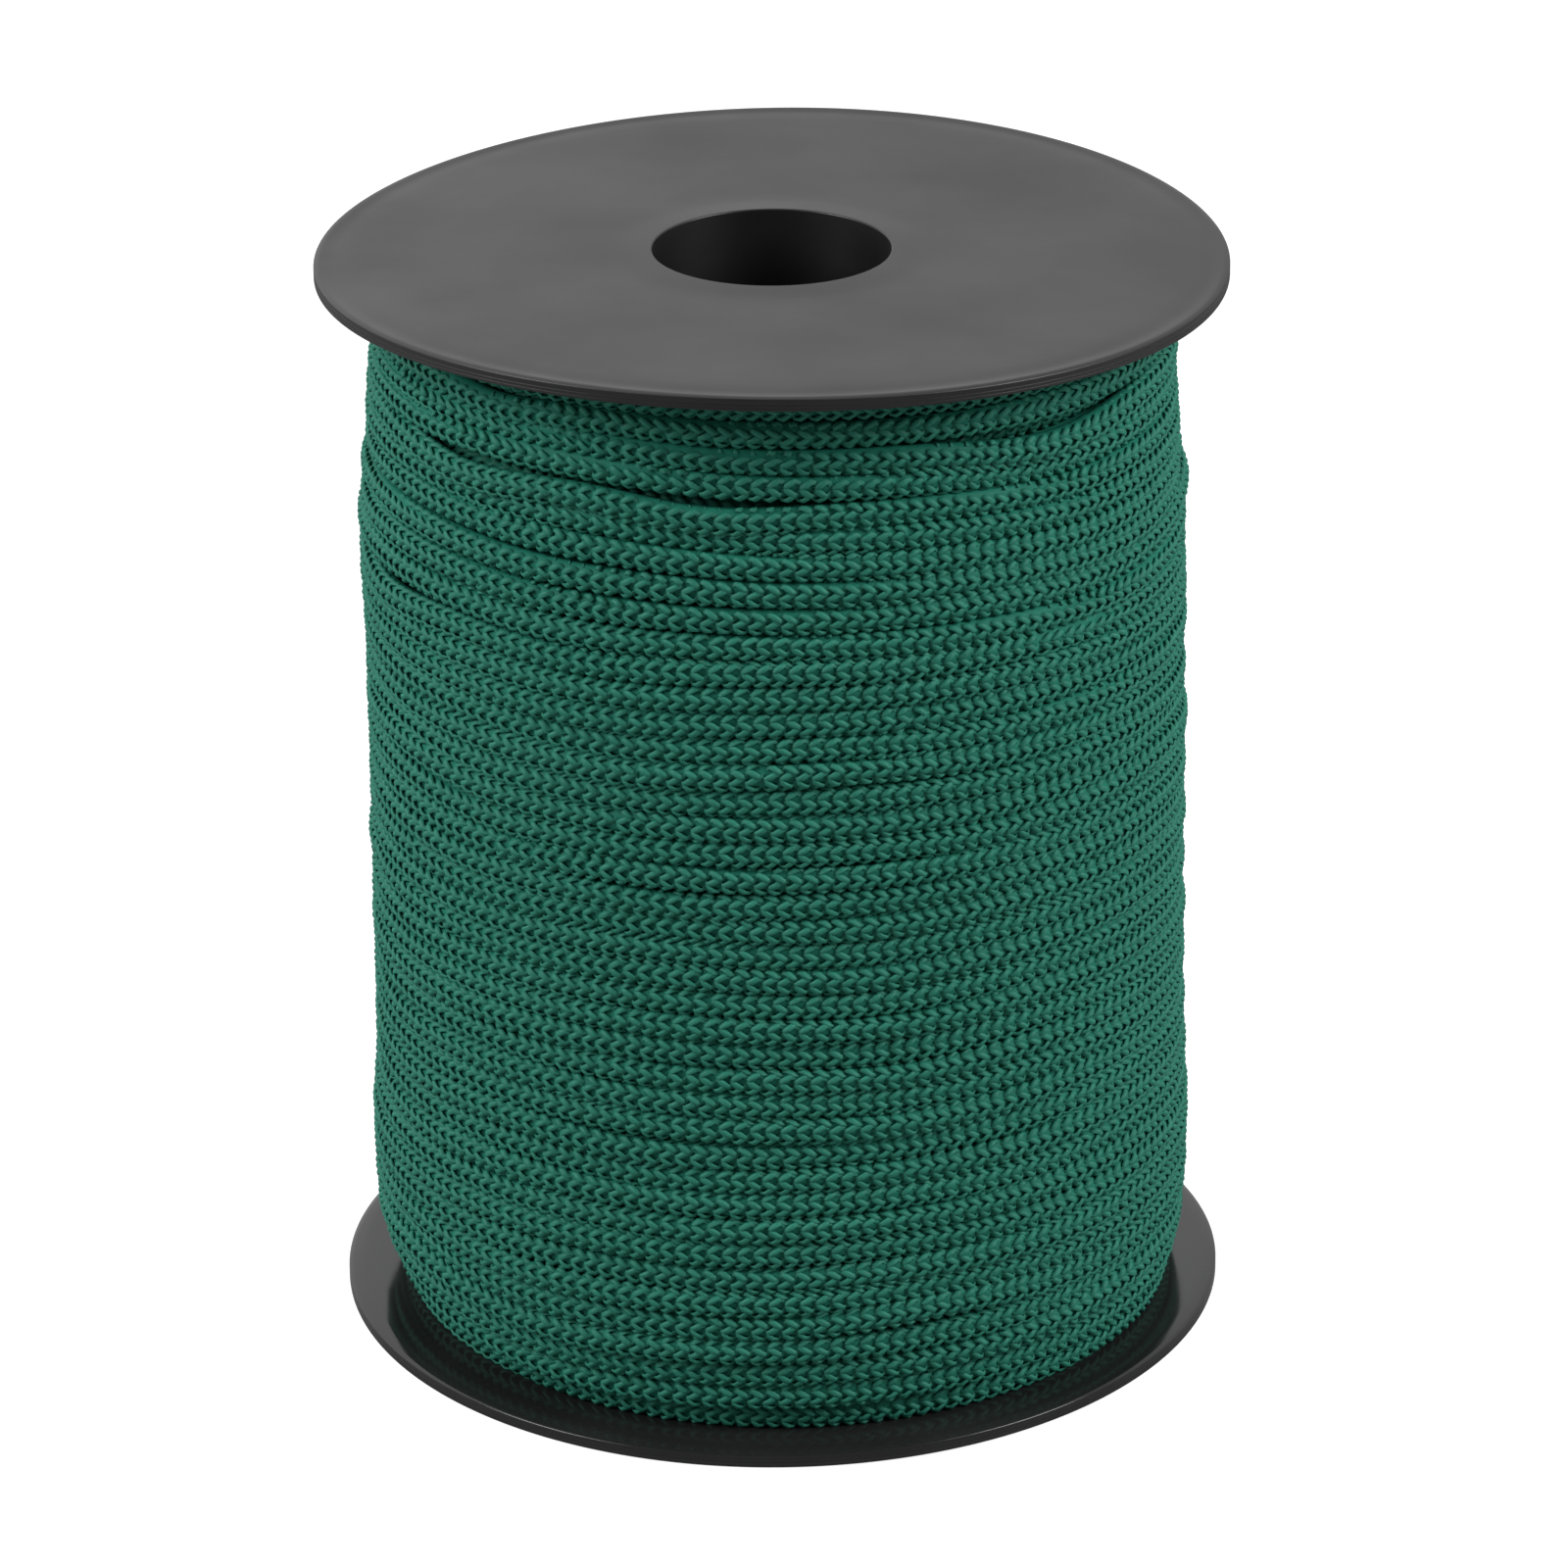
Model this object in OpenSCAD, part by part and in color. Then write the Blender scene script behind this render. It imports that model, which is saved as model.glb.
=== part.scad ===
// Spool of knitted cord: two moulded flanges on a core tube, wound full of one cord.
// The spool stands on its bottom flange. Z runs up the bore, and Z = 0 is the resting face.

/* [Flanges] */
// Diameter of both flanges
flange_d = 130; // [126:1:180]
// Overall height, from the resting face to the top face
spool_h = 161; // [120:1:220]
// Thickness of a flange between its faces
flange_t = 2.2; // [2:0.1:3]
// Height of the straight wall round a flange's edge
rim_t = 1.6; // [1:0.1:1.8]
// Width of the shallow shoulder inside the edge of an outer face
outer_shoulder = 3; // [2:0.5:5]
// Width of the shallow shoulder inside the edge of an inner face
inner_shoulder = 2; // [1:0.5:4]

/* [Bore] */
// Diameter of the hole through the spool
bore_d = 34; // [30:1:34]
// Radius of the rounded lip where the bore meets an outer face
lip_r = 1; // [0.5:0.1:1.5]
// Wall of the sleeve that each flange pushes into the core tube
sleeve_wall = 2; // [1.5:0.5:2]
// Length of that sleeve
sleeve_l = 25; // [15:1:40]
// How far the collar round the hole stands above the top face
collar_h = 0.3; // [0.2:0.1:0.4]
// Diameter at which the collar has faded into the top face
collar_d = 47; // [44:1:52]

/* [Core tube] */
// Outer diameter of the core tube
core_d = 42; // [42:1:44]
// Gap between a sleeve and the inside of the core tube
core_gap = 0.05; // [0.02:0.01:0.1]
// Width and height of the notch that holds the cord's inner end
notch_w = 5; // [4:0.5:6]

/* [Cord] */
// Thickness of the cord as it lies on the spool
cord_d = 3.85; // [3.7:0.05:4]
// Number of layers that the cord is wound in
cord_layers = 10; // [10]

/* [Hidden] */
$fn = 128;
slack = 0.3;

flange_r = flange_d / 2;
bore_r = bore_d / 2;
sleeve_r = bore_r + sleeve_wall;
core_r = core_d / 2;
core_bore_r = sleeve_r + core_gap;
wound_h = spool_h - 2 * flange_t;
edge_drop = (flange_t - rim_t) / 2;

// The outermost layer bulges towards the bottom and is drawn in at both ends.
// Each point is a share of the wound height and a change of radius.
pack_swell = [
    [0, -2.3], [0.03, -0.4], [0.09, 1.0], [0.17, 1.1], [0.27, 0.3], [0.45, 0],
    [0.72, -0.1], [0.8, -0.8], [0.89, -2.2], [1, -2.8]
];

function layer_name(i) = str("cord_layer_", i < 10 ? "0" : "", i);
function layer_inner_r(i) = core_r + cord_d * (i - 1);

// Half section of a flange, its inner face at Z = 0 and its outer face above it.
module flange_section(collar) {
    difference() {
        union() {
            polygon([
                [bore_r, 0],
                [flange_r - inner_shoulder, 0],
                [flange_r, edge_drop],
                [flange_r, edge_drop + rim_t],
                [flange_r - outer_shoulder, flange_t],
                [bore_r, flange_t]
            ]);
            polygon([
                [bore_r, flange_t / 2],
                [collar_d / 2 - 1, flange_t / 2],
                [collar_d / 2, flange_t],
                [sleeve_r, flange_t + collar],
                [bore_r, flange_t + collar]
            ]);
            translate([bore_r, -sleeve_l])
                square([sleeve_wall, sleeve_l + flange_t / 2]);
        }
        lip_corner(flange_t + collar);
    }
}

// What is cut away to round the lip of the bore.
module lip_corner(top) {
    difference() {
        translate([bore_r - 1, top - lip_r])
            square([lip_r + 1, lip_r + 1]);
        translate([bore_r + lip_r, top - lip_r])
            circle(lip_r);
    }
}

module flange(collar) {
    rotate_extrude()
        flange_section(collar);
}

module top_flange() {
    color("dimgray")
        translate([0, 0, spool_h - flange_t - collar_h])
            flange(collar_h);
}

module bottom_flange() {
    color("dimgray")
        translate([0, 0, flange_t])
            mirror([0, 0, 1])
                flange(0);
}

module core_tube() {
    color("darkslategray")
        translate([0, 0, flange_t])
            difference() {
                cylinder(h = wound_h - collar_h, r = core_r);
                translate([0, 0, -1])
                    cylinder(h = wound_h + 2, r = core_bore_r);
                translate([0, -notch_w / 2, -1])
                    cube([core_r + 1, notch_w, notch_w + 1]);
            }
}

// The inner end of the cord, caught in the notch between the tube and the sleeve.
module cord_start() {
    color("seagreen")
        translate([core_bore_r, 0, flange_t + notch_w / 2])
            rotate([0, 90, 0])
                cylinder(h = core_r - core_bore_r, d = notch_w - slack);
}

// One layer of turns as a sleeve of the cord's own thickness.
module cord_layer(i) {
    top_z = wound_h - collar_h;
    inner = layer_inner_r(i);
    outer = inner + cord_d;
    color("seagreen")
        translate([0, 0, flange_t])
            rotate_extrude()
                if (i < cord_layers)
                    translate([inner, 0])
                        square([cord_d, top_z]);
                else
                    polygon(concat(
                        [[inner, 0]],
                        [for (p = pack_swell) [outer + p[1], top_z * p[0]]],
                        [[inner, top_z]]
                    ));
}

top_flange();
bottom_flange();
core_tube();
cord_start();
for (i = [1 : cord_layers])
    cord_layer(i);
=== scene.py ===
"""Looks of the cord spool: two moulded flanges, a core tube and one knitted cord in ten layers.

All lengths are in metres, in the frame of the CAD model. Z runs up the bore and Z = 0 is the
resting face.
"""

import math

import bpy
import numpy as np
from mathutils import Matrix, Vector


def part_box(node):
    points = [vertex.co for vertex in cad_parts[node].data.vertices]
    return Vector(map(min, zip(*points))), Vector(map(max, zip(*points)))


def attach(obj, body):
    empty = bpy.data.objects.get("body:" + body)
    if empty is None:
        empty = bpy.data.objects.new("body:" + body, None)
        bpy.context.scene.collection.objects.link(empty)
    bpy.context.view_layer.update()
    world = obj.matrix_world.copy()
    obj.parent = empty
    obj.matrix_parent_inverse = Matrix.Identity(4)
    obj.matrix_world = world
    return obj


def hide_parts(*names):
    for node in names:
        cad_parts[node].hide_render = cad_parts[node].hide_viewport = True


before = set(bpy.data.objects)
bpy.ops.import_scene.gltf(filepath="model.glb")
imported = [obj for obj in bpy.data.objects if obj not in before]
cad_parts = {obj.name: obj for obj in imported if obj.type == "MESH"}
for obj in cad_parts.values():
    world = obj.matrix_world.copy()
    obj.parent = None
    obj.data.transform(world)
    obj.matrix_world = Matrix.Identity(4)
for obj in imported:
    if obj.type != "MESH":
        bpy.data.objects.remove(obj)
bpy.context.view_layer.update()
MM = 0.001

# ---------------------------------------------------------------- sizes, from the frame
CORE_LOW, CORE_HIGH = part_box("core_tube")

SPOOL_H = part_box("top_flange")[1][2]
FLANGE_R = 65.0 * MM
FLANGE_T = CORE_LOW[2]
BORE_R = 17.0 * MM
SLEEVE_WALL = 2.0 * MM
SLEEVE_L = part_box("bottom_flange")[1][2] - FLANGE_T
COLLAR_H = SPOOL_H - CORE_HIGH[2] - FLANGE_T
COLLAR_R = 23.5 * MM
LIP_R = 0.25 * MM
CORE_R = 21.0 * MM
CORNER_R = 0.2 * MM
FILLET_R = 0.8 * MM
RIM_DROP = 0.15 * MM
INNER_RIM_DROP = 0.25 * MM
RIM_GROOVES = (0.72 * MM, 1.2 * MM)
GROOVE_HALF = 0.07 * MM
GROOVE_DEPTH = 0.03 * MM

# Each flange is bowed by about a millimetre, as a moulded disc is.
TOP_BOW, TOP_BOW_PHASE, TOP_LEAN = -0.86 * MM, math.radians(-15), -0.32 * MM
BASE_BOW, BASE_BOW_PHASE = 0.4 * MM, math.radians(-11)

LAYERS = 10
LAYER_T = 3.85 * MM
CORD_R = 1.94 * MM
WOUND_LOW = FLANGE_T
WOUND_HIGH = CORE_HIGH[2]

# ---------------------------------------------------------------- knit, one stitch
STITCH = 2.15 * MM
WALES = 5
TWIST = math.radians(-0.9) / MM
YARN_WIDTH = 0.88 * MM
YARN_THICKNESS = 0.50 * MM
# The cord is pressed between its neighbours, so its section is a rounded square of this power.
SECTION_POWER = 3.0
# The knit and the smooth inside are wider up and down the spool than they are deep.
CORD_SIDE_SCALE = 1.17
INSIDE_R = 1.25 * MM
INSIDE_SIDE_SCALE = 1.35
YARN_SIDES = 6
LOOP_SAMPLES = 12
# Yarn at height 0 lies this share of its thickness under the cord's surface.
LEG_LIFT = 0.6
# Yarn is made this far to each side of the outward direction. The rest faces the layer below.
HALF_SEEN = math.radians(125)
# Half a loop, from the sinker between two wales to the head. Each point has its place along the
# cord as a share of the stitch, its place around as a share of the wale, its height as a share of
# the yarn's thickness, and its size as a share of the yarn's.
HALF_LOOP = [
    (-0.24, -0.50, -0.85, 1.00), (-0.13, -0.25, -0.80, 0.95), (-0.01, -0.09, -0.35, 0.90),
    (0.12, -0.12, 0.38, 1.02), (0.37, -0.25, 0.60, 1.15), (0.61, -0.39, 0.45, 1.08),
    (0.82, -0.48, -0.05, 0.95), (0.98, -0.34, -0.60, 0.95), (1.04, 0.00, -0.80, 1.00),
]  # fmt: skip
# How far a loop strays at random: along, as a share of the stitch, around in radians, and in depth.
STRAY_ALONG, STRAY_AROUND, STRAY_DEPTH = 0.04, 0.03, 0.02 * MM
# The ninth layer's smooth cord is this much less in radius, so that stitches can lie over it.
UNDER_STITCHES = 0.35 * MM

# ---------------------------------------------------------------- sheets for baked textures
SHEET_COLUMNS = 8
SHEET_RINGS = 400
SHEET_MARGIN = 0.05
YARN_SHEET = (0.0, 0.95)
INSIDE_SHEET = (0.955, 1.0)
WHOLE_SHEET = (0.0, 1.0)


def top_lift(angle, radius):
    """How far the bow raises the top flange at this place."""
    share = radius / FLANGE_R
    bow = TOP_BOW * np.cos(2 * (angle - TOP_BOW_PHASE)) * share**2
    return bow + TOP_LEAN * np.cos(angle) * share


def base_lift(angle, radius):
    """How far the bow raises the bottom flange here. Its lowest points stay on the floor."""
    return BASE_BOW * (1 + np.cos(2 * (angle - BASE_BOW_PHASE))) * (radius / FLANGE_R) ** 2


def smooth_noise(x, seed, octaves=2):
    """Repeatable noise between about -1 and 1 along x, with a feature every 1 in x."""
    total = np.zeros_like(x, dtype=float)
    for octave in range(octaves):
        rng = np.random.default_rng(seed + 101 * octave)
        waves = rng.uniform(0.55, 1.6, 7) * 2**octave
        phases = rng.uniform(0, 2 * math.pi, 7)
        total += sum(np.sin(w * x * 2 + p) for w, p in zip(waves, phases)) / 7 / 2**octave
    return total * 1.6


# ---------------------------------------------------------------- materials
def new_material(name):
    material = bpy.data.materials.new(name)
    material.use_nodes = True
    nodes = material.node_tree.nodes
    return material, nodes, material.node_tree.links, nodes["Principled BSDF"]


def noise_node(nodes, links, coords, scale, detail=4.0, stretch=(1, 1, 1)):
    mapping = nodes.new("ShaderNodeMapping")
    mapping.inputs["Scale"].default_value = stretch
    links.new(coords, mapping.inputs["Vector"])
    noise = nodes.new("ShaderNodeTexNoise")
    noise.inputs["Scale"].default_value = scale
    noise.inputs["Detail"].default_value = detail
    links.new(mapping.outputs["Vector"], noise.inputs["Vector"])
    return noise.outputs["Fac"]


def ramp_node(nodes, links, factor, stops):
    ramp = nodes.new("ShaderNodeValToRGB")
    elements = ramp.color_ramp.elements
    elements[0].position, elements[0].color = stops[0][0], (*stops[0][1], 1)
    elements[1].position, elements[1].color = stops[-1][0], (*stops[-1][1], 1)
    for position, colour in stops[1:-1]:
        elements.new(position).color = (*colour, 1)
    links.new(factor, ramp.inputs["Fac"])
    return ramp.outputs["Color"]


def plastic_material(name, low, high, roughness, bump):
    """Moulded black plastic with faint flow marks. low and high are greys, roughness a pair."""
    material, nodes, links, shader = new_material(name)
    coords = nodes.new("ShaderNodeTexCoord").outputs["Object"]
    cloud = noise_node(nodes, links, coords, 45.0, 5.0)
    links.new(
        ramp_node(nodes, links, cloud, [(0.3, (low,) * 3), (0.7, (high, high, high * 1.03))]),
        shader.inputs["Base Color"],
    )
    links.new(
        ramp_node(nodes, links, cloud, [(0.3, (roughness[0],) * 3), (0.7, (roughness[1],) * 3)]),
        shader.inputs["Roughness"],
    )
    grain = noise_node(nodes, links, coords, 900.0, 3.0)
    bump_node = nodes.new("ShaderNodeBump")
    bump_node.inputs["Strength"].default_value = bump
    bump_node.inputs["Distance"].default_value = 0.02 * MM
    links.new(grain, bump_node.inputs["Height"])
    links.new(bump_node.outputs["Normal"], shader.inputs["Normal"])
    shader.inputs["IOR"].default_value = 1.5
    return material


def cord_material(name, dark, middle, light, shine):
    """Green multifilament yarn, with fine filaments that run along it."""
    material, nodes, links, shader = new_material(name)
    strand = nodes.new("ShaderNodeUVMap")
    strand.uv_map = "strand"
    filaments = noise_node(nodes, links, strand.outputs["UV"], 1.0, 3.0, (1.5, 9, 1))
    colour = ramp_node(nodes, links, filaments, [(0.3, dark), (0.52, middle), (0.72, light)])
    links.new(colour, shader.inputs["Base Color"])
    shader.inputs["Roughness"].default_value = 0.55
    shader.inputs["Specular IOR Level"].default_value = shine
    bump_node = nodes.new("ShaderNodeBump")
    bump_node.inputs["Strength"].default_value = 0.5
    bump_node.inputs["Distance"].default_value = 0.03 * MM
    links.new(filaments, bump_node.inputs["Height"])
    links.new(bump_node.outputs["Normal"], shader.inputs["Normal"])
    return material


SATIN = plastic_material("flange_satin", 0.006, 0.010, (0.34, 0.43), 0.25)
GLOSS = plastic_material("flange_gloss", 0.012, 0.017, (0.10, 0.16), 0.05)
CORE = plastic_material("core_dull", 0.010, 0.014, (0.50, 0.60), 0.3)
CORD = cord_material(
    "knitted_cord",
    (0.016, 0.150, 0.102),
    (0.021, 0.190, 0.131),
    (0.029, 0.235, 0.165),
    0.25,
)
# The cord's smooth inside and the layers under the outermost are the same green yarn, a little
# darker than the outer knit: painted shade for the holes between stitches and the gaps between
# turns.
CORD_INSIDE = cord_material(
    "cord_inside",
    (0.013, 0.140, 0.096),
    (0.016, 0.165, 0.114),
    (0.019, 0.190, 0.131),
    0.1,
)


# ---------------------------------------------------------------- mesh helpers
def mesh_object(name, verts, faces, material):
    mesh = bpy.data.meshes.new(name)
    mesh.from_pydata(verts, [], faces)
    mesh.materials.append(material)
    mesh.polygons.foreach_set("use_smooth", [True] * len(mesh.polygons))
    obj = bpy.data.objects.new(name, mesh)
    bpy.context.scene.collection.objects.link(obj)
    return obj


def arc(cx, cz, radius, start, end, steps):
    """Points of an arc about (cx, cz), in degrees, both ends included."""
    angles = [math.radians(start + (end - start) * i / steps) for i in range(steps + 1)]
    return [(cx + radius * math.cos(a), cz + radius * math.sin(a)) for a in angles]


def lathe(name, section, material, lift, segments=360):
    """Turns a closed section of (radius, z) points about Z. lift says how far a place is raised."""
    count = len(section)
    verts = []
    for i in range(segments):
        angle = 2 * math.pi * i / segments
        for radius, z in section:
            raised = z + lift(angle, radius)
            verts.append((radius * math.cos(angle), radius * math.sin(angle), raised))
    faces = []
    for i in range(segments):
        here, there = i * count, (i + 1) % segments * count
        for j in range(count):
            k = (j + 1) % count
            faces.append((here + j, there + j, there + k, here + k))
    obj = mesh_object(name, verts, faces, material)
    obj.data.set_sharp_from_angle(angle=math.radians(35))
    return obj


# ---------------------------------------------------------------- flanges
def flange_section(collar):
    """Half section of a flange, anticlockwise. Its inner face is at 0, its outer face above."""
    face = FLANGE_T
    upper, lower = face - RIM_DROP, INNER_RIM_DROP
    sleeve_r = BORE_R + SLEEVE_WALL
    points = [(sleeve_r, -SLEEVE_L), (sleeve_r, -FILLET_R)]
    points += arc(sleeve_r + FILLET_R, -FILLET_R, FILLET_R, 180, 90, 4)
    points += [(r * MM, 0.0) for r in (24, 30, 38, 46, 54, 60, 62.6)]
    points += [(63.4 * MM, lower * 0.25), (64.2 * MM, lower * 0.7)]
    points += arc(FLANGE_R - CORNER_R, lower + CORNER_R, CORNER_R, -60, 0, 4)
    for groove_z in RIM_GROOVES:
        points += [
            (FLANGE_R, groove_z - GROOVE_HALF),
            (FLANGE_R - GROOVE_DEPTH, groove_z),
            (FLANGE_R, groove_z + GROOVE_HALF),
        ]
    points += arc(FLANGE_R - CORNER_R, upper - CORNER_R, CORNER_R, 0, 80, 5)
    # A shallow groove runs round the face just inside the rim: radius and height in mm.
    groove = [
        (64.5, -0.02), (64.1, -0.01), (63.6, -0.07), (63.0, -0.12),
        (62.4, -0.13), (61.6, -0.09), (60.6, -0.03),
    ]  # fmt: skip
    points += [(r * MM, face + height * MM) for r, height in groove]
    points += [(r * MM, face) for r in (59, 56, 48, 40, 32, 26, 24.5)]
    # The collar rises smoothly from the face to the lip of the hole.
    steps = 8
    for i in range(1, steps + 1):
        share = i / steps
        ease = share * share * (2 - share)
        points.append((COLLAR_R + (BORE_R + LIP_R - COLLAR_R) * share, face + collar * ease))
    points += arc(BORE_R + LIP_R, face + collar - LIP_R, LIP_R, 80, 180, 5)
    points += [(BORE_R, -SLEEVE_L)]
    return points


def flanges():
    top = lathe(
        "top_flange_moulding",
        [(r, z + SPOOL_H - FLANGE_T - COLLAR_H) for r, z in flange_section(COLLAR_H)],
        SATIN,
        top_lift,
    )
    base = lathe(
        "bottom_flange_moulding",
        [(r, FLANGE_T - z) for r, z in reversed(flange_section(0.0))],
        GLOSS,
        base_lift,
    )
    for piece, node, slot in (
        (top, "top_flange", "flange_satin"),
        (base, "bottom_flange", "flange_gloss"),
    ):
        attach(piece, "root")
        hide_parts(node)


flanges()


# ---------------------------------------------------------------- winding paths
# The outermost layer's swell: share of the wound height, then change of radius in mm. The layers
# under it swell less, in proportion.
SWELL = [
    (0, -2.3), (0.03, -0.4), (0.09, 1.0), (0.17, 1.1), (0.27, 0.3), (0.45, 0),
    (0.72, -0.1), (0.8, -0.6), (0.9, -1.6), (1, -2.1),
]  # fmt: skip
# A turn lies level most of the way round. At the back it steps to the next one, in this share of
# a turn.
STEP_START = math.radians(45)
STEP_SHARE = 0.25


def layer_path(layer, samples_per_turn):
    """Centre line of one layer: angle, radius and height at each sample."""
    low, high = WOUND_LOW + CORD_R, WOUND_HIGH - CORD_R
    levels = round((high - low) / LAYER_T)
    turn = np.linspace(0, levels + 1, (levels + 1) * samples_per_turn + 1)
    angle = STEP_START + 2 * math.pi * turn
    whole = np.minimum(np.floor(turn), levels)
    part = np.clip((turn - whole) / STEP_SHARE, 0, 1)
    # The first turn starts on its level. Every later one steps to its own.
    level = whole - (whole > 0) * (1 - part * part * (3 - 2 * part))
    z = low + (high - low) * level / levels
    if layer % 2 == 1:
        z = low + high - z
    share = (z - WOUND_LOW) / (WOUND_HIGH - WOUND_LOW)
    swell = np.interp(share, [s[0] for s in SWELL], [s[1] * MM for s in SWELL])
    r = CORE_R + LAYER_T * (layer - 0.5) + swell * (layer - 1) / (LAYERS - 1)
    # Its two ends come up from the layer below and go down into it, each in 0.12 of a turn.
    ends = np.clip(np.minimum(turn, turn[-1] - turn) / 0.12, 0, 1)
    r = r - 0.9 * LAYER_T * (1 - ends * ends * (3 - 2 * ends)) * (layer > 1)
    return angle, r, z


# Places where a turn rides up on its neighbour and leaves a dark wedge beside it: angle in degrees,
# height in mm, half width in degrees, then shift up and lift outward in mm. The camera stands at
# -90 degrees.
RIDES = [
    (-137, 141, 16, -1.7, 0.9), (-100, 140, 14, -1.3, 0.6), (-131, 154, 10, -1.0, 0.4),
    (-48, 147.5, 16, -1.5, 0.8), (-153, 96, 16, 1.3, 0.6), (-158, 117, 13, -1.0, 0.5),
    (-156, 16, 15, 1.6, 0.8), (-30, 13, 20, 1.6, 0.8), (-68, 19, 14, 0.9, 0.4),
    (-104, 84, 16, -0.6, 0.2), (-75, 103, 16, 0.6, 0.2), (-112, 47, 15, -0.6, 0.2),
    (-18, 92, 15, 0.9, 0.4), (5, 127, 18, 1.3, 0.7), (24, 60, 16, -0.9, 0.4),
    (165, 131, 17, -1.5, 0.8), (172, 72, 16, 1.1, 0.5), (158, 24, 18, 1.5, 0.8),
]  # fmt: skip
# Slow waves of the turns up and down: size in mm, waves round the spool, phase, and change of
# phase for each millimetre up.
WAVES = [(0.45, 2, 0.9, 0.03), (0.30, 3, 4.1, 0.05), (0.20, 5, 1.2, -0.06), (0.10, 8, 0.4, 0.11)]


def nearest_turn(angle, z, degrees, height):
    """The angle at which a path passes nearest to a place given by its direction and height."""
    first = angle[0] + (math.radians(degrees) - angle[0]) % (2 * math.pi)
    meets = np.arange(first, angle[-1], 2 * math.pi)
    return meets[np.argmin(np.abs(np.interp(meets, angle, z) - height))]


def outer_path(samples_per_turn):
    """Centre line of the outermost layer, with the unevenness of a real winding."""
    angle, r, z = layer_path(LAYERS, samples_per_turn)
    z_even = z
    high = z / MM
    # On the left the turns bulge in the upper part and draw in under the top flange.
    bulge = 0.8 * np.exp(-(((high - 122) / 9) ** 2)) - 0.9 * np.exp(-(((high - 158) / 8) ** 2))
    r = r + (0.22 * smooth_noise(angle * 0.9, 5) + bulge * np.clip(-np.cos(angle), 0, 1) ** 2) * MM
    # The lowest turns are drawn in, most of all on the left.
    drawn_in = np.exp(-((high / 10) ** 2)) * np.clip(np.cos(angle - math.radians(-155)), 0, 1) ** 2
    r = r - 2.2 * MM * drawn_in
    free = np.clip(np.minimum(z - WOUND_LOW, WOUND_HIGH - z) / (12 * MM), 0, 1)
    # Near the top the turns run downhill from the left to the front.
    lean = 1.7 * np.exp(-(((high - 137) / 13) ** 2)) * np.cos(angle - math.radians(-165))
    wave = lean
    for size, count, phase, rate in WAVES:
        wave = wave + size * np.cos(count * angle + phase + rate * high)
    z = z + (wave * free + 0.10 * smooth_noise(angle * 0.6, 9)) * MM
    for degrees, height, width, shift, lift in RIDES:
        nearest = nearest_turn(angle, z_even, degrees, height * MM)
        riding = np.exp(-(((angle - nearest) / math.radians(width)) ** 2))
        # The turn that it rides on is the next one on that side, which is pressed in and aside.
        next_turn = nearest + 2 * math.pi * np.sign(shift)
        pressed = np.exp(-(((angle - next_turn) / math.radians(width)) ** 2))
        z = z + (shift * riding + 0.3 * shift * pressed) * MM
        r = r + (lift * riding - 0.6 * lift * pressed) * MM
    # The turns near a flange follow its bow, and none leaves the room between the flanges.
    near_top = np.clip((high - 125) / 30, 0, 1)
    near_base = np.clip((30 - high) / 25, 0, 1)
    z = z + top_lift(angle, r) * near_top + base_lift(angle, r) * near_base
    lowest = WOUND_LOW + CORD_R + base_lift(angle, r)
    highest = WOUND_HIGH - CORD_R + top_lift(angle, r)
    return angle, r, np.clip(z, lowest, highest)


def path_frames(angle, r, z):
    """Points on a path, its tangent, outward and sideways directions, and the length along it."""
    centre = np.stack([r * np.cos(angle), r * np.sin(angle), z], -1)
    tangent = np.gradient(centre, axis=0)
    tangent /= np.linalg.norm(tangent, axis=1, keepdims=True)
    out = np.stack([np.cos(angle), np.sin(angle), np.zeros_like(angle)], -1)
    out -= tangent * (out * tangent).sum(1, keepdims=True)
    out /= np.linalg.norm(out, axis=1, keepdims=True)
    side = np.cross(out, tangent)
    side *= np.sign(side[:, 2:3])
    steps = np.linalg.norm(np.diff(centre, axis=0), axis=1)
    length = np.concatenate([[0], np.cumsum(steps)])
    return centre, tangent, out, side, length


def at_length(frames, wanted):
    """The frames at the given lengths along the path."""
    length = frames[4]
    fields = []
    for field in frames[:4]:
        fields.append(np.stack([np.interp(wanted, length, field[:, i]) for i in range(3)], -1))
    return fields


def section(phi):
    """How far the rounded square section reaches at this angle, as a share of its half width."""
    powers = np.abs(np.sin(phi)) ** SECTION_POWER + np.abs(np.cos(phi)) ** SECTION_POWER
    return powers ** (-1 / SECTION_POWER)


# A part of a mesh is (vertices, quads, triangles, quad map, triangle map). A map holds four numbers
# for each corner: two strand coordinates for the material, then its place in the baking sheet.
def rolled_sheet(rings, sides):
    """The quads of a tube of vertex rings, with the ring and the side of each corner.

    The last quad round the tube ends at side number sides, not 0, so that a map has no jump in it.
    """
    ring = np.arange(rings - 1)[:, None, None] + np.array([0, 0, 1, 1])
    side = np.arange(sides)[None, :, None] + np.array([0, 1, 1, 0])
    ring, side = np.broadcast_arrays(ring, side)
    return (ring * sides + side % sides).reshape(-1, 4), ring.reshape(-1, 4), side.reshape(-1, 4)


def end_caps(rings, sides):
    """The triangles that close both ends of a tube, with the ring and the side of each corner."""
    fan = np.array([[0, k + 1, k] for k in range(1, sides - 1)])
    side = np.concatenate([fan, fan[:, ::-1]])
    ring = np.repeat([0, rings - 1], sides - 2)[:, None] * np.ones((1, 3), dtype=int)
    return ring * sides + side, ring, side


def join(parts):
    """One part made of several."""
    counts = np.cumsum([0] + [len(part[0]) for part in parts[:-1]])
    return (
        np.concatenate([part[0] for part in parts]),
        np.concatenate([part[1] + count for part, count in zip(parts, counts)]),
        np.concatenate([part[2] + count for part, count in zip(parts, counts)]),
        np.concatenate([part[3] for part in parts]),
        np.concatenate([part[4] for part in parts]),
    )


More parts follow.
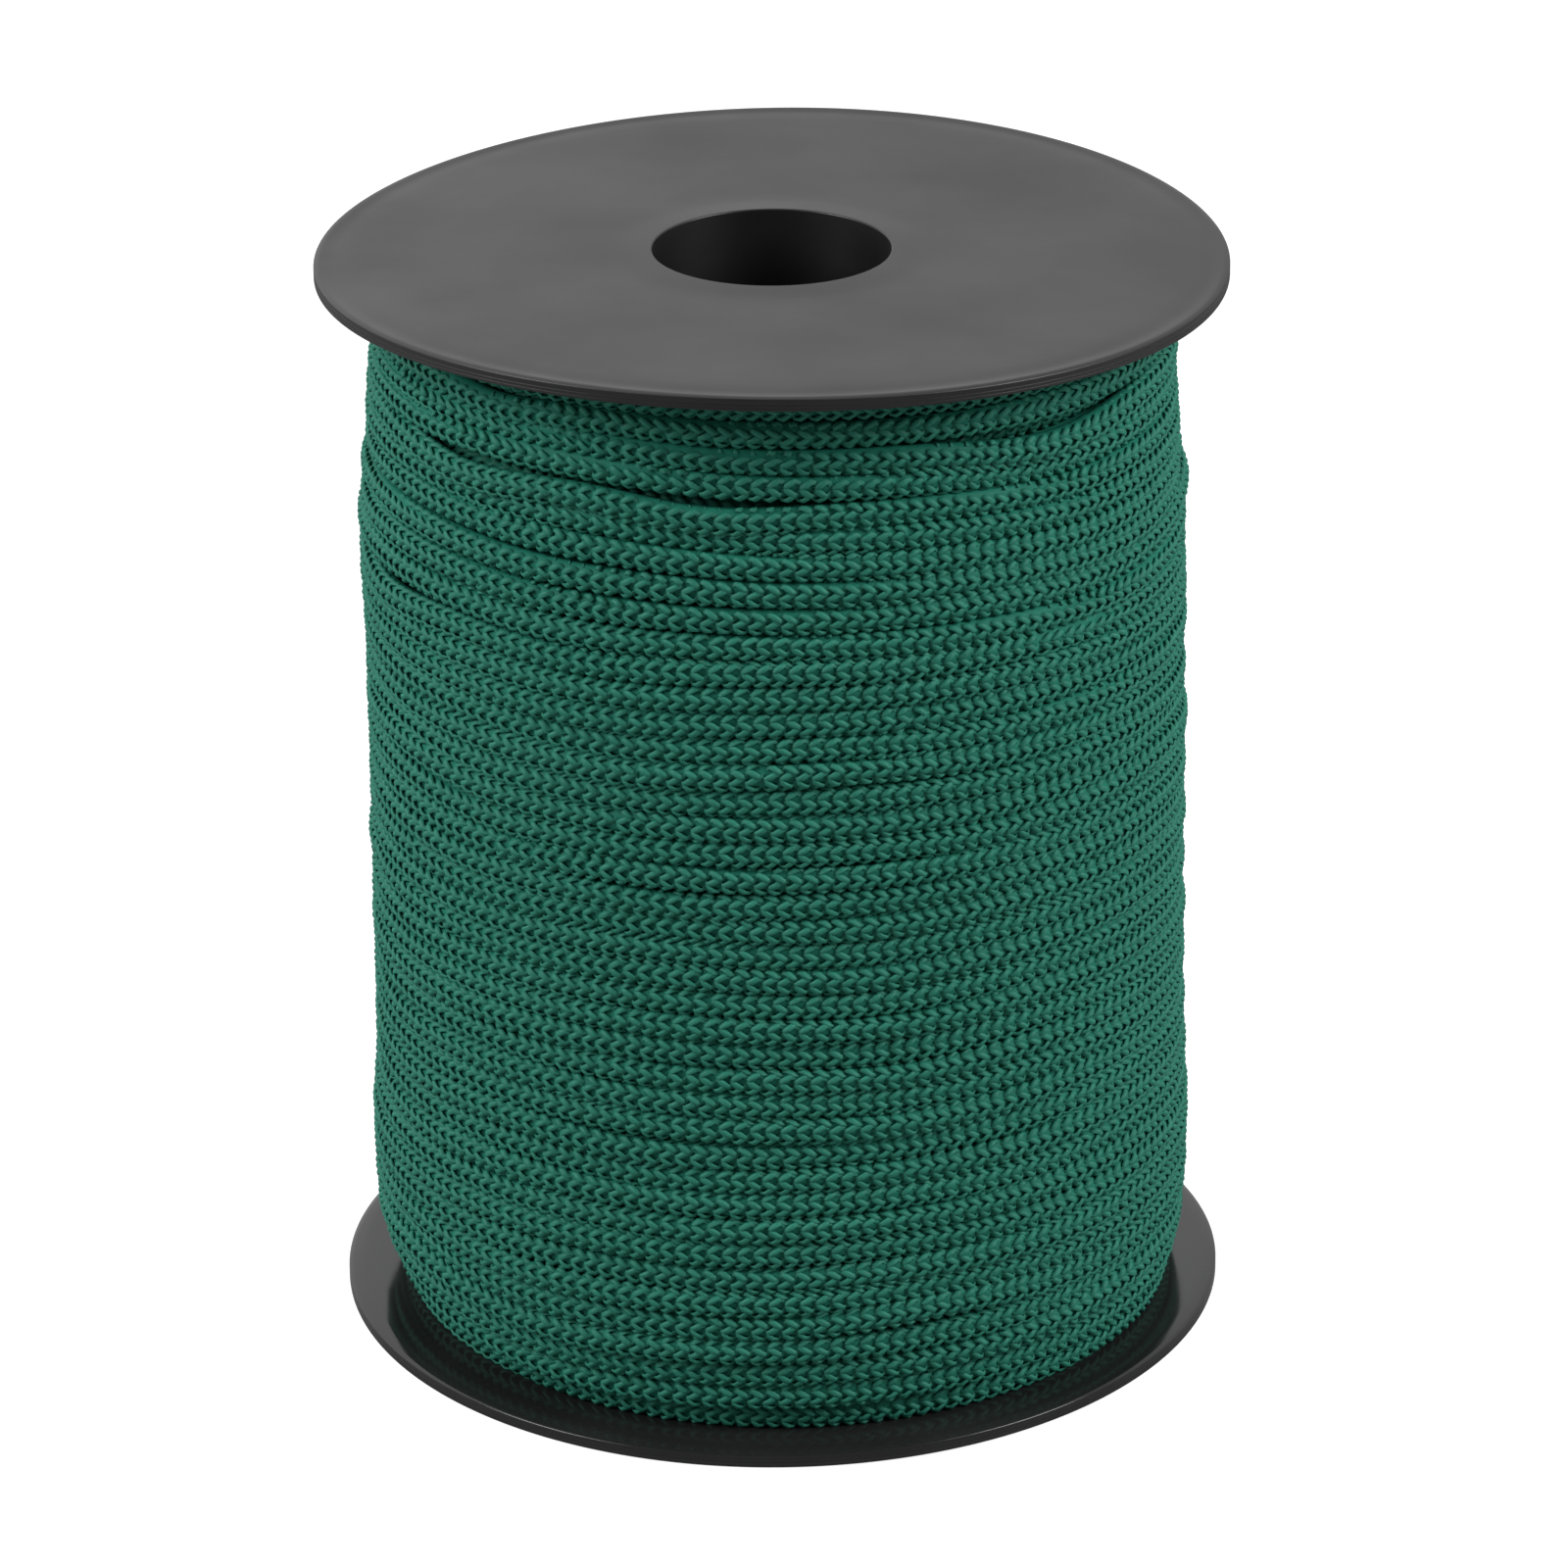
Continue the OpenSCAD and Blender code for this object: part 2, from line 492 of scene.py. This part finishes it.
def tube(frames, radius, sides, sheet, side_scale=1.0):
    """A closed tube on a path, its first side inward. sheet is its low and high in the bake."""
    centre, tangent, out, side, _ = frames
    count = len(centre)
    turn = math.pi + 2 * math.pi * np.arange(sides) / sides
    ring = out[:, None] * np.cos(turn)[None, :, None]
    ring = ring + side[:, None] * side_scale * np.sin(turn)[None, :, None]
    ring = ring * section(turn)[None, :, None]
    verts = (centre[:, None] + ring * radius).reshape(-1, 3)
    length = np.concatenate([[0], np.cumsum(np.linalg.norm(np.diff(centre, axis=0), axis=1))])
    rows = math.ceil(count / SHEET_RINGS)
    per_row = math.ceil(count / rows)

    def corner_map(ring, side):
        row = ring[:, :1] // per_row
        x = (ring - row * per_row) / per_row
        row = row + SHEET_MARGIN + (1 - 2 * SHEET_MARGIN) * side / sides
        y = sheet[0] + (sheet[1] - sheet[0]) * row / rows
        return np.stack([length[ring] / STITCH, side / sides, x, y], -1)

    quads, ring, side = rolled_sheet(count, sides)
    tris, cap_ring, cap_side = end_caps(count, sides)
    return verts, quads, tris, corner_map(ring, side), corner_map(cap_ring, cap_side)


def spline(points, count):
    """count points on a smooth curve through the given points, ends included."""
    points = np.array(points, dtype=float)
    padded = np.concatenate([[2 * points[0] - points[1]], points, [2 * points[-1] - points[-2]]])
    at = np.linspace(0, len(points) - 1, count)
    i = np.minimum(at.astype(int), len(points) - 2)
    f = (at - i)[:, None]
    p0, p1, p2, p3 = (padded[i + k] for k in range(4))
    square = 2 * p0 - 5 * p1 + 4 * p2 - p3
    cube = 3 * p1 - p0 - 3 * p2 + p3
    return 0.5 * (2 * p1 + (p2 - p0) * f + square * f**2 + cube * f**3)


def loop_template():
    """One knitted loop as samples of (along, around, height, size), from one sinker to the next."""
    half = spline(HALF_LOOP, LOOP_SAMPLES // 2 + 1)
    mirrored = half[::-1][1:-1] * [1, -1, 1, 1]
    return np.concatenate([half, mirrored]) * [STITCH, 1, YARN_THICKNESS, 1]


def knit(frames, start, end, sheet):
    """The yarn of every course between two lengths, on the outward side of the cord.

    A cord like this is knitted in a spiral, so its loops rise by one stitch in a turn.
    """
    template = loop_template()
    per_course = LOOP_SAMPLES * WALES
    courses = np.arange(math.ceil(start / STITCH), math.ceil(end / STITCH))
    twist = TWIST * courses * STITCH + 0.5 * smooth_noise(courses * STITCH / 0.15, 21)
    middle = np.round(per_course * (courses - twist / (2 * math.pi))).astype(int)
    reach = int(per_course * HALF_SEEN / (2 * math.pi))
    sample = middle[:, None] + np.arange(-reach, reach + 1)[None]
    loop, step = np.divmod(sample, LOOP_SAMPLES)
    rng = np.random.default_rng(7)
    jitter = rng.normal(0, 1, (4096, 3))[loop % 4096]
    # Around the cord, in turns of it, then along it.
    around = (loop + 0.5 + template[step, 1]) / WALES
    along = (loop / WALES + STRAY_ALONG * jitter[..., 0]) * STITCH + template[step, 0]
    phi = 2 * math.pi * (around - np.round(around.mean(1, keepdims=True)))
    phi = phi + STRAY_AROUND * jitter[..., 1]
    phi = phi + np.interp(along, courses * STITCH, twist)
    phi = phi - 2 * math.pi * np.round(phi.mean(1, keepdims=True) / (2 * math.pi))
    rho = CORD_R - YARN_THICKNESS / 2 - LEG_LIFT * YARN_THICKNESS + template[step, 2]
    rho = rho + STRAY_DEPTH * jitter[..., 2]

    # The yarn in the cord's own straight frame: along, sideways, outward.
    rho = rho * section(phi)
    path = np.stack([along, rho * np.sin(phi) * CORD_SIDE_SCALE, rho * np.cos(phi)], -1)
    tangent = np.gradient(path, axis=1)
    tangent /= np.linalg.norm(tangent, axis=-1, keepdims=True)
    lift = np.stack([np.zeros_like(phi), np.sin(phi), np.cos(phi)], -1)
    lift -= tangent * (lift * tangent).sum(-1, keepdims=True)
    lift /= np.linalg.norm(lift, axis=-1, keepdims=True)
    flank = np.cross(tangent, lift)
    turn = 2 * math.pi * (np.arange(YARN_SIDES) + 0.5) / YARN_SIDES
    ring = (
        flank[:, :, None] * (np.cos(turn) * YARN_WIDTH / 2)[None, None, :, None]
        + lift[:, :, None] * (np.sin(turn) * YARN_THICKNESS / 2)[None, None, :, None]
    ) * template[step, 3][..., None, None]
    local = path[:, :, None] + ring
    centre, forward, out, side = at_length(frames, local[..., 0].ravel())
    local = local.reshape(-1, 3)
    verts = centre + side * local[:, 1:2] + out * local[:, 2:3]

    strips, samples = sample.shape
    number = np.arange(strips)[:, None, None]
    rows = math.ceil(strips / SHEET_COLUMNS)

    def corner_map(ring, side):
        ring, side = np.broadcast_arrays(ring[None], side[None])
        x = (number % SHEET_COLUMNS + 0.02 + 0.96 * ring / (samples - 1)) / SHEET_COLUMNS
        row = number // SHEET_COLUMNS + SHEET_MARGIN + (1 - 2 * SHEET_MARGIN) * side / YARN_SIDES
        y = sheet[0] + (sheet[1] - sheet[0]) * row / rows
        u = (sample[:, :1, None] + ring) / LOOP_SAMPLES
        maps = np.stack(np.broadcast_arrays(u, side / YARN_SIDES, x, y), -1)
        return maps.reshape(-1, ring.shape[-1], 4)

    quads, ring, side = rolled_sheet(samples, YARN_SIDES)
    tris, cap_ring, cap_side = end_caps(samples, YARN_SIDES)
    base = number * samples * YARN_SIDES
    return (
        verts,
        (quads[None] + base).reshape(-1, 4),
        (tris[None] + base).reshape(-1, 3),
        corner_map(ring, side),
        corner_map(cap_ring, cap_side),
    )


def cord_mesh(name, part, materials, first_inside=None):
    """Builds a smooth mesh. Faces on vertices from first_inside on take the second material."""
    verts, quads, tris, quad_map, tri_map = part
    mesh = bpy.data.meshes.new(name)
    mesh.vertices.add(len(verts))
    mesh.vertices.foreach_set("co", verts.astype(np.float32).ravel())
    loops = np.concatenate([quads.ravel(), tris.ravel()]).astype(np.int32)
    mesh.loops.add(len(loops))
    mesh.loops.foreach_set("vertex_index", loops)
    starts = np.concatenate([np.arange(len(quads)) * 4, len(quads) * 4 + np.arange(len(tris)) * 3])
    mesh.polygons.add(len(starts))
    mesh.polygons.foreach_set("loop_start", starts.astype(np.int32))
    mesh.polygons.foreach_set("use_smooth", np.ones(len(starts), dtype=bool))
    mesh.update(calc_edges=True)
    corners = np.concatenate([quad_map.reshape(-1, 4), tri_map.reshape(-1, 4)]).astype(np.float32)
    mesh.uv_layers.new(name="strand").uv.foreach_set("vector", corners[:, :2].ravel())
    mesh.uv_layers.new(name="OFBake").uv.foreach_set("vector", corners[:, 2:].ravel())
    for material in materials:
        mesh.materials.append(material)
    if first_inside is not None:
        inside = np.concatenate([quads[:, 0], tris[:, 0]]) >= first_inside
        mesh.polygons.foreach_set("material_index", inside.astype(np.int32))
    obj = bpy.data.objects.new(name, mesh)
    bpy.context.scene.collection.objects.link(obj)
    return obj


def outer_winding():
    """The outermost layer in twenty runs of equal length: knitted yarn round a smooth inside."""
    pieces = []
    frames = path_frames(*outer_path(240))
    total = frames[4][-1]
    runs = 20
    for i in range(runs):
        start, end = total * i / runs, total * (i + 1) / runs
        yarn = knit(frames, start, end, YARN_SHEET)
        rings = np.linspace(start, end, int((end - start) / STITCH) + 1)
        path = (*at_length(frames, rings), None)
        inside = tube(path, INSIDE_R, 12, INSIDE_SHEET, INSIDE_SIDE_SCALE)
        name = f"cord_layer_10_run_{i + 1:02d}"
        both = join([yarn, inside])
        pieces.append(cord_mesh(name, both, [CORD, CORD_INSIDE], first_inside=len(yarn[0])))
    return pieces


def inner_winding(layer):
    """A layer that the next one covers, as a smooth cord."""
    frames = path_frames(*layer_path(layer, 48))
    radius = CORD_R - (UNDER_STITCHES if layer == LAYERS - 1 else 0)
    turns = tube(frames, radius, 8, WHOLE_SHEET)
    return cord_mesh(f"cord_layer_{layer:02d}_turns", turns, [CORD_INSIDE])


def glimpses(rows):
    """Stitches of the layer below that show in the wedges, so many rows beside the riding turns."""
    angle, r, z = layer_path(LAYERS - 1, 240)
    frames = path_frames(angle, r, z)
    parts = []
    for i, (degrees, height, width, shift, _) in enumerate(RIDES):
        beside = height * MM - math.copysign(rows * LAYER_T, shift)
        middle = nearest_turn(angle, z, degrees, beside)
        reach = math.radians(width * 1.3)
        start, end = np.interp([middle - reach, middle + reach], angle, frames[4])
        parts.append(knit(frames, start, end, (i / len(RIDES), (i + 1) / len(RIDES))))
    return cord_mesh(f"cord_layer_09_glimpse_{rows + 1}", join(parts), [CORD])


def cord_start():
    """The inner end of the cord, where it comes out of its notch in the core tube."""
    low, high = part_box("cord_start")
    radius = (high[2] - low[2]) / 2
    x = np.linspace(low[0], high[0], 9)
    flat = np.zeros_like(x)
    centre = np.stack([x, flat + (low[1] + high[1]) / 2, flat + (low[2] + high[2]) / 2], -1)
    forward = np.stack([flat + 1, flat, flat], -1)
    up = np.stack([flat, flat, flat + 1], -1)
    frames = (centre, forward, up, np.cross(up, forward), None)
    return cord_mesh("cord_start_stub", tube(frames, radius, 16, WHOLE_SHEET), [CORD])


def wind_cord():
    for layer in range(1, LAYERS):
        piece = inner_winding(layer)
        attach(piece, "root")
        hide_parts(f"cord_layer_{layer:02d}")
    for piece, node in (
        (glimpses(0), "cord_layer_09"),
        (glimpses(1), "cord_layer_09"),
        (cord_start(), "cord_start"),
    ):
        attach(piece, "root")
        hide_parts(node)
    for piece in outer_winding():
        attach(piece, "root")
        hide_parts("cord_layer_10")


wind_cord()

# The core tube shows as the CAD made it, in its own material.
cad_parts["core_tube"].data.materials.clear()
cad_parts["core_tube"].data.materials.append(CORE)


# ---------------------------------------------------------------- floor, light and camera
def softbox(name, place, aim, width, height, energy):
    data = bpy.data.lights.new(name, "AREA")
    data.shape = "RECTANGLE"
    data.size, data.size_y = width, height
    data.energy = energy
    light = bpy.data.objects.new(name, data)
    light.location = place
    light.rotation_euler = (Vector(aim) - Vector(place)).to_track_quat("-Z", "Y").to_euler()
    bpy.context.scene.collection.objects.link(light)


def map_range(nodes, links, value, start, end):
    """Maps value from the pair start to the pair end, and no further."""
    node = nodes.new("ShaderNodeMapRange")
    node.inputs["From Min"].default_value, node.inputs["From Max"].default_value = start
    node.inputs["To Min"].default_value, node.inputs["To Max"].default_value = end
    links.new(value, node.inputs["Value"])
    return node.outputs["Result"]


def studio():
    scene = bpy.context.scene
    floor = mesh_object(
        "floor",
        [(-4, -4, 0), (4, -4, 0), (4, 4, 0), (-4, 4, 0)],
        [(0, 1, 2, 3)],
        floor_material(),
    )
    world = bpy.data.worlds.new("studio")
    world.use_nodes = True
    scene.world = world
    nodes, links = world.node_tree.nodes, world.node_tree.links
    background = nodes["Background"]
    background.inputs["Color"].default_value = (1, 1, 1, 1)
    # The spool is lit by a room that is dark behind the camera and a little brighter on the left.
    coords = nodes.new("ShaderNodeTexCoord")
    split = nodes.new("ShaderNodeSeparateXYZ")
    links.new(coords.outputs["Generated"], split.inputs["Vector"])
    back = map_range(nodes, links, split.outputs["Y"], (-0.6, 0.5), (0.09, 0.86))
    across = map_range(nodes, links, split.outputs["X"], (-0.5, 0.5), (1.28, 0.72))
    both = nodes.new("ShaderNodeMath")
    both.operation = "MULTIPLY"
    links.new(back, both.inputs[0])
    links.new(across, both.inputs[1])
    # The camera sees the backdrop white.
    path = nodes.new("ShaderNodeLightPath")
    choose = nodes.new("ShaderNodeMix")
    choose.inputs["B"].default_value = 1.0
    links.new(path.outputs["Is Camera Ray"], choose.inputs["Factor"])
    links.new(both.outputs["Value"], choose.inputs["A"])
    links.new(choose.outputs["Result"], background.inputs["Strength"])
    middle = (0, 0, 0.08)
    softbox("softbox_left", (-0.9, -0.35, 0.75), middle, 0.5, 0.7, 9.5)
    softbox("softbox_right", (0.9, -0.35, 0.75), middle, 0.5, 0.7, 11.0)
    scene.view_settings.view_transform = "Standard"


def floor_material():
    """A pale floor with a glow that only the camera sees. The spool sees its plain shade."""
    material, nodes, links, shader = new_material("pale_floor")
    shader.inputs["Base Color"].default_value = (0.28, 0.28, 0.28, 1)
    shader.inputs["Roughness"].default_value = 0.9
    shader.inputs["Emission Color"].default_value = (1, 1, 1, 1)
    path = nodes.new("ShaderNodeLightPath")
    glow = nodes.new("ShaderNodeMath")
    glow.operation = "MULTIPLY"
    glow.inputs[1].default_value = 0.92
    links.new(path.outputs["Is Camera Ray"], glow.inputs[0])
    links.new(glow.outputs["Value"], shader.inputs["Emission Strength"])
    return material


def camera():
    """The main view: a long lens from the front and above, rolled by a fraction of a degree."""
    distance, elevation, roll = 1.06, math.radians(22.63), math.radians(0.614)
    target = Vector((0, 0, SPOOL_H / 2))
    view = Vector((0, math.cos(elevation), -math.sin(elevation)))
    up = Vector((0, math.sin(elevation), math.cos(elevation)))
    right = Vector((1, 0, 0))
    up, right = (
        up * math.cos(roll) + right * math.sin(roll),
        right * math.cos(roll) - up * math.sin(roll),
    )
    data = bpy.data.cameras.new("camera")
    data.sensor_width = 36.0
    data.lens = 166.5
    data.shift_x = 0.0043
    data.shift_y = -0.0086
    data.clip_end = 20.0
    obj = bpy.data.objects.new("camera", data)
    place = Matrix((right, up, -view)).transposed().to_4x4()
    place.translation = target - view * distance
    obj.matrix_world = place
    bpy.context.scene.collection.objects.link(obj)
    bpy.context.scene.camera = obj


studio()
camera()
